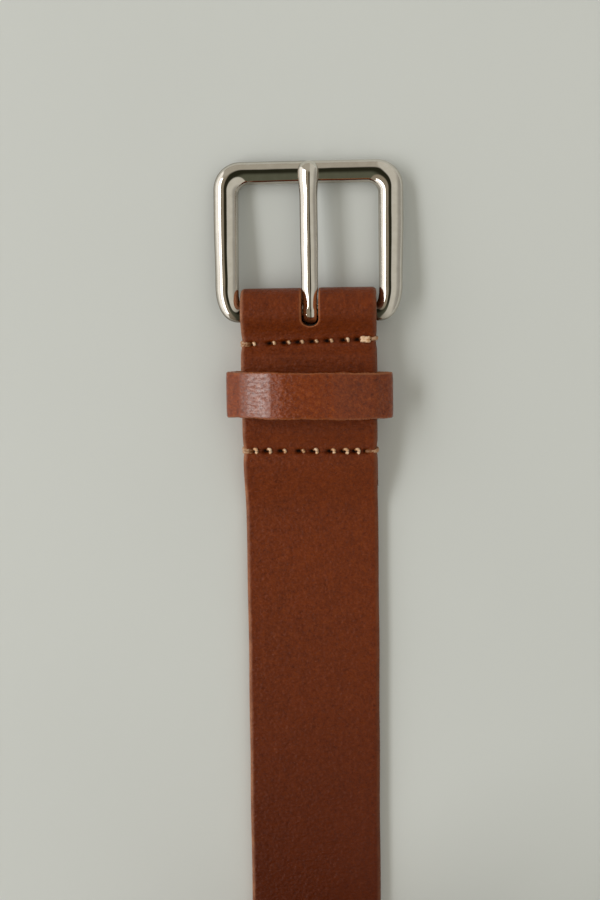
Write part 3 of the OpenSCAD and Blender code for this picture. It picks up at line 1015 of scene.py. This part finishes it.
def tongue_surface(steps=36):
    """The curl and the blade as one grid of rings, from the curl's end to the tip."""
    angle = bar_section(steps)
    across, rise = np.cos(angle), np.sin(angle)
    curl = np.radians(np.linspace(-38, -270, CURL_STEPS))
    tip_from = TONGUE_LEN - TIP_HALF
    tip_run = TIP_HALF * np.sin(np.linspace(0, 0.497 * np.pi, 22))[1:]
    blade = np.concatenate([np.linspace(0.35, tip_from, 90), tip_from + tip_run])
    low, high = eased_line(tongue_under, blade), eased_line(tongue_over, blade)
    shoulder = NECK_HALF + (BLADE_HALF - NECK_HALF) * smooth(3.2, 6.2, blade)
    tip_swell = TIP_HALF - BLADE_HALF - BLADE_SWELL
    wide = shoulder + BLADE_SWELL * smooth(8, 20, blade) + tip_swell * smooth(31, 38, blade)
    tip_round = np.sqrt(np.clip(1 - ((blade - TONGUE_LEN + TIP_HALF) / TIP_HALF) ** 2, 0, 1))
    wide = wide * np.where(blade > tip_from, tip_round**0.85, 1)

    def from_curl(in_curl, in_blade):
        """One number for every ring: the same all round the curl, then the blade's own."""
        return np.concatenate([np.full(CURL_STEPS, in_curl), in_blade])

    middle = from_curl((EYE_IN + EYE_OUT) / 2, low + 0.24 * (high - low))
    top = from_curl(EYE_OUT, high) - middle
    bottom = middle - from_curl(EYE_IN, low)
    half = from_curl(NECK_HALF, wide)
    start = np.clip(np.arange(CURL_STEPS) / 4, 0, 1)
    start_round = np.sqrt(np.clip(1 - (1 - start) ** 2, 0.02, 1))
    for size in (half, top, bottom):
        size[:CURL_STEPS] *= start_round
    turn_to = np.concatenate([curl, np.full_like(blade, -1.5 * np.pi)])
    forward = from_curl(0.0, blade)
    x = half[:, None] * (across + CREST_SHIFT * np.clip(rise, 0, 1) ** 2)
    x = x + TONGUE_LEAN * (1 - forward[:, None] / (2 * TONGUE_LEN))
    dome = (1 - ROOF) * np.abs(rise) + ROOF * (1 - np.abs(across))
    lift = np.where(rise > 0, top[:, None] * dome, -bottom[:, None] * np.abs(rise) ** 0.6)
    radius = middle[:, None] + lift
    u = forward[:, None] + radius * np.cos(turn_to)[:, None]
    w = radius * np.sin(turn_to)[:, None]
    return tilted(x, u, w)


tongue_grid = tongue_surface()
tongue = new_piece("tongue_skin", *joined([tongue_grid]), nickel, 80)
tongue_rise = np.sin(bar_section(tongue_grid.shape[1]))
# painted shade on the tongue's lower sides, for the dark surroundings they reflect
attribute(tongue, "metal_painted_shade", np.tile(0.9 - 0.9 * smooth(0.25, 0.62, tongue_rise), len(tongue_grid)))
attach(tongue, "tongue")
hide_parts("tongue")

# %% [markdown]
# ## The keeper
#
# The keeper is a narrower strip of thinner, shinier leather, bent into a loop and
# butted under the strap. Its cut edges were never rubbed down, so they stay pale and a
# little fuzzy. Two shoulders were pressed into it when it was wet, and the left one has
# worn to a shine. It is a rounded strip section carried round the loop's outline.

# %% Keeper
KEEPER_T = 2.0
KEEPER_EDGE = 0.55
arch_sides = [[22.5, 7.7], [22.45, 8.4], [21.8, 9.3], [18.4, 12.4], [17.6, 13.0], [16.8, 13.4]]
arch_crown = [[13.4, 14.9], [10.2, 16.25], [7.2, 17.05], [3.6, 17.45], [0.0, 17.55]]
arch_knots = np.array(arch_sides + arch_crown)
LOW_R, LOW_X, LOW_Z = 3.0, 19.5, 7.8
BUTT_HALF = 0.15
KEEPER_BACK = 0.4
KEEPER_SKEW = 0.016


def keeper_line():
    """The loop's middle line (x, z): bottom run, low corner, arch, low corner, bottom run."""
    bottom = LOW_Z - LOW_R
    low = [LOW_X, LOW_Z] + LOW_R * on_circle(np.radians(np.linspace(-90, 0, 30)))
    knots = np.concatenate([arch_knots, arch_knots[-2::-1] * [-1, 1]])
    knots_at = along(knots)
    even = np.linspace(0, knots_at[-1], 900)
    reach = np.linspace(-1, 1, 15)[None] * np.minimum(0.7, np.minimum(even, even[-1] - even))[:, None]
    arch = resampled(knots, knots_at, even[:, None] + reach).mean(axis=1)
    run = np.stack([np.linspace(BUTT_HALF, LOW_X, 60), np.full(60, bottom)], axis=1)[:-1]
    line_points = np.concatenate([run, low, arch, low[::-1] * [-1, 1], run[::-1] * [-1, 1]])
    at = along(line_points)
    keep = np.concatenate([[True], np.diff(at) > 1e-9])
    even = np.linspace(0, at[-1], 330)
    return resampled(line_points[keep], at[keep], even), even


loop_line, loop_at = keeper_line()
tangent = np.gradient(loop_line, axis=0)
tangent /= np.linalg.norm(tangent, axis=1)[:, None]
loop_out = np.stack([tangent[:, 1], -tangent[:, 0]], axis=1)
bend = np.radians(np.linspace(90, 0, 6))[1:]
half_len = KEEPER_LEN / 2
top_run = np.linspace(-half_len + KEEPER_EDGE, half_len - KEEPER_EDGE, 38)
round_y = half_len - KEEPER_EDGE + KEEPER_EDGE * np.cos(bend)
round_n = KEEPER_T / 2 - KEEPER_EDGE * (1 - np.sin(bend))
rounded = np.stack([round_y, round_n], axis=1)
far_side = np.concatenate([rounded, [[half_len, 0.0]], rounded[::-1] * [1, -1]])
over_run = np.stack([top_run, np.full(38, KEEPER_T / 2)], axis=1)
under_run = over_run[::-2] * [1, -1]
keeper_section = np.concatenate([over_run, far_side, under_run, far_side[::-1] * [-1, 1]])
ky = np.broadcast_to(keeper_section[None, :, 0], (len(loop_at), len(keeper_section)))
kn = np.broadcast_to(keeper_section[None, :, 1], ky.shape)
ks = np.broadcast_to(loop_at[:, None], ky.shape)
rough_cut = np.random.default_rng(7).normal(0, 1, ky.shape)
cut_edge = smooth(half_len - KEEPER_EDGE - 0.1, half_len - 0.1, np.abs(ky))
sway = 0.10 * np.sin(ks * 0.31 + np.sign(ky)) + 0.05 * np.sin(ks * 0.93 + 2 * np.sign(ky))
shaped_y = ky + np.sign(ky) * cut_edge * 0.05 * rough_cut + sway * (np.abs(ky) / half_len) ** 3
thinned = 0.08 * smooth(half_len - 2.4, half_len, np.abs(ky)) * np.sign(kn)
shaped_kn = kn + 0.03 * cut_edge * np.roll(rough_cut, 3, axis=0) - thinned
keeper_grid = np.stack(
    [
        loop_line[:, None, 0] + loop_out[:, None, 0] * shaped_kn,
        shaped_y - KEEPER_AT - KEEPER_BACK - KEEPER_SKEW * loop_line[:, None, 0],
        loop_line[:, None, 1] + loop_out[:, None, 1] * shaped_kn,
    ],
    axis=-1,
)
keeper = new_piece("keeper_band", *joined([keeper_grid]), keeper_leather, 60)
attribute(keeper, "flat", np.stack([ks, ky + 300, kn], axis=-1).reshape(-1, 3))
attribute(keeper, "edge", 0 * cut_edge.ravel())
attribute(keeper, "flesh", smooth(-0.3, -0.9, kn).ravel())
bright_end = 0.5 + 0.5 * smooth(6, 18, loop_line[:, None, 0]) * (ky > 0)
attribute(keeper, "cut", (cut_edge * bright_end * np.clip(0.8 + 0.25 * rough_cut, 0, 1)).ravel())
attribute(keeper, "awl", 0 * cut_edge.ravel())
shoulder = smooth(-19.0, -17.8, loop_line[:, :1]) * smooth(-8.0, -12.5, loop_line[:, :1])
outer_face = (1 - cut_edge) * (kn > 0) * (loop_line[:, 1:] > 9)
attribute(keeper, "polish", (shoulder * outer_face).ravel())
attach(keeper, "keeper")
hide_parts("keeper")

# %% [markdown]
# ## The stitches
#
# The strap is sewn by hand with thick waxed linen, three plies twisted together. Each
# stitch comes up out of one awl hole and goes down the next, and at both ends of a row
# the thread goes over the edge of the strap. A curve with a round bevel would give a
# smooth wire, so each stitch is a swept ring whose radius swells at three turning plies.

# %% Thread
THREAD_R = 0.47
PLY_TURN = 0.42


def thread(path, radius=THREAD_R, around=15, spacing=0.16):
    """A twisted thread along a line of points.

    Ring radius is the thread's radius times a three-lobed wave that turns as it goes.
    """
    at = along(path)
    even = np.linspace(0, at[-1], max(6, int(at[-1] / spacing)))
    course = resampled(path, at, even)
    weights = np.array([1, 2, 3, 2, 1]) / 9
    padded = np.concatenate([course[:1], course[:1], course, course[-1:], course[-1:]])
    course = np.stack([np.convolve(padded[:, axis], weights, "valid") for axis in range(3)], axis=1)
    run = np.gradient(course, axis=0)
    run /= np.linalg.norm(run, axis=1)[:, None]
    side = np.cross(run, [0.0, 1.0, 0.0])
    side /= np.linalg.norm(side, axis=1)[:, None]
    up = np.cross(side, run)
    angle = np.linspace(0, 2 * np.pi, around, endpoint=False)
    lobes = np.abs(np.cos(1.5 * (angle[None] - 2 * np.pi * PLY_TURN * even[:, None])))
    ends = np.clip(np.minimum(even, even[-1] - even) / 0.3, 0.25, 1)
    swell = (radius * (0.8 + 0.24 * lobes) * ends[:, None])[..., None]
    ring_way = np.cos(angle)[None, :, None] * side[:, None] + np.sin(angle)[None, :, None] * up[:, None]
    return course[:, None] + swell * ring_way


def end_bells(share, near=0.08, far=0.08):
    """1 at both ends of a stitch and nearly 0 between them: a bell curve at each end."""
    return np.exp(-((share / near) ** 2)) + np.exp(-(((1 - share) / far) ** 2))


def seam_threads(row, holes, slant, hooks, sink, backstitch):
    """Every thread of one row: top stitches, under stitches and the wraps at both edges.

    A top stitch climbs out of its hole, turns round the hole's right side as a small
    hook, and sinks along the groove to the next hole. hooks is how far each one turns.
    """
    made = []
    share = np.linspace(0, 1, 40)
    reach = HALF_W - 0.18
    for first, last, hook in zip(holes[:-1], holes[1:], hooks):
        turn = np.radians(np.linspace(80, -55, 24)) * hook
        loop_x = first + 0.68 + 0.70 * np.cos(turn)
        loop_y = 0.62 * np.sin(turn) * np.sign(hook)
        loop_z = SEAM_TOP - 0.02 - 0.10 * np.linspace(-1, 1, 24) ** 2
        start = [
            [loop_x[0] - 0.5, loop_y[0] * 0.5, SEAM_TOP - 1.7],
            [loop_x[0] - 0.3, loop_y[0] * 0.8, SEAM_TOP - 0.6],
        ]
        stop = [
            [loop_x[-1] + 0.35, loop_y[-1], SEAM_TOP - sink],
            [loop_x[-1] + 0.6, 0.0, SEAM_TOP - 1.7],
        ]
        path = np.concatenate([start, np.stack([loop_x, loop_y, loop_z], axis=1), stop])
        path[:, 1] -= row_back(row, slant, path[:, 0])
        made.append(thread(path))
        x = first + 0.18 + (last - first - 0.42) * share
        low = SEAM_LIFT - 0.28 + 1.4 * end_bells(share)
        made.append(thread(np.stack([x, -row_back(row, slant, x), low], axis=1)))
    for side in (-1, 1):
        hole = holes[0] if side < 0 else holes[-1]
        corners = [
            [hole - 0.15 * side, SEAM_TOP - 1.6],
            [hole + 0.05 * side, SEAM_TOP - 0.85],
            [hole + 0.45 * side, SEAM_TOP - 0.62],
            [side * (reach - 0.75), SEAM_TOP - 0.56],
            [side * (reach - 0.02), SEAM_TOP - 0.75],
            [side * (reach + 0.12), SEAM_TOP - 2.2],
            [side * (reach + 0.12), SEAM_LIFT + 2.2],
            [side * (reach - 0.02), SEAM_LIFT + 0.7],
            [side * (reach - 0.7), SEAM_LIFT - 0.12],
            [hole + 0.5 * side, SEAM_LIFT - 0.2],
            [hole, SEAM_LIFT + 1.3],
        ]
        x, z = np.array(corners).T
        y = -row_back(row, slant, x) + np.linspace(0.0, 1.1 if side < 0 else 0.5, len(x))
        made.append(thread(np.stack([x, y, z], axis=1), THREAD_R * 1.12))
        made.append(thread(np.stack([x, y - 0.5 + 0.3 * side, z + 0.05], axis=1)))
    if backstitch:
        start, stop = backstitch
        for shift in (-0.42, 0.36):
            x = start + (stop - start) * share
            y = -row_back(row, slant, x) + shift + 0.12 * np.sin(7 * share + shift)
            z = SEAM_TOP + 0.16 - 1.6 * end_bells(share, far=0.1)
            made.append(thread(np.stack([x, y, z], axis=1), THREAD_R * 1.15))
    return made


# %% [markdown]
# Waxed linen is off-white when new. In use the humps stay pale and shiny, while the
# parts that lie in the groove take up brown dye and dirt from the leather.


# %% Thread finish
def thread_finish(name):
    """Waxed linen: pale on the humps, stained low in the groove, with fine fibres."""
    material, bench, shader = finish_bench(name)
    where = bench.node("ShaderNodeTexCoord", output=3)
    blotch = bench.noise(where, 900.0, 3.0)
    fibre = bench.noise(where, 9000.0, 3.0, 0.7)
    clean = bench.mix(bench.step(blotch, 0.3, 0.7), colour(214, 164, 116), colour(244, 214, 182))
    dirty = bench.mix(fibre, colour(104, 56, 24), colour(150, 96, 50))
    looks = {
        "Base Color": bench.mix(bench.stored("stain"), clean, dirty),
        "Roughness": 0.34 + fibre * 0.25,
        "Normal": bench.bump(fibre, 0.5, 0.00008),
    }
    bench.dress(shader, looks)
    return material


linen = thread_finish("waxed_linen_look")
fold_hooks = [0.45, 0.4, 0.35, 0.4, 0.35, 0.4, 0.6, 0.4]
flap_hooks = [1.1, 1.0, -0.5, 0.35, 1.0, -0.8, -1.2, 1.1]
seam_list = [
    ("fold_threads", "fold_stitching", SEAMS[0], fold_hooks, 0.95, (14.6, 17.2)),
    ("flap_threads", "flap_stitching", SEAMS[1], flap_hooks, 0.80, None),
]
for name, node, (row, holes, slant), hooks, sink, backstitch in seam_list:
    grids = seam_threads(row, holes, slant, hooks, sink, backstitch)
    points, faces = joined(grids)
    piece = new_piece(name, points, faces, linen, 80)
    low_part = smooth(SEAM_TOP + 0.30, SEAM_TOP - 0.15, points[:, 2])
    attribute(piece, "stain", np.where(np.abs(points[:, 0]) > 17.4, 0.6, low_part))
    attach(piece, "strap")
    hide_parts(node)

# %% [markdown]
# The keeper's own three stitches hold its two ends together under the strap, out of
# sight. Their CAD shape is right, so it stays and only gets the linen finish.

# %% Keeper stitches
keeper_threads = frame["nodes"]["keeper_stitching"]
if not keeper_threads.material_slots:
    keeper_threads.data.materials.append(linen)
for place in keeper_threads.material_slots:
    place.material = linen
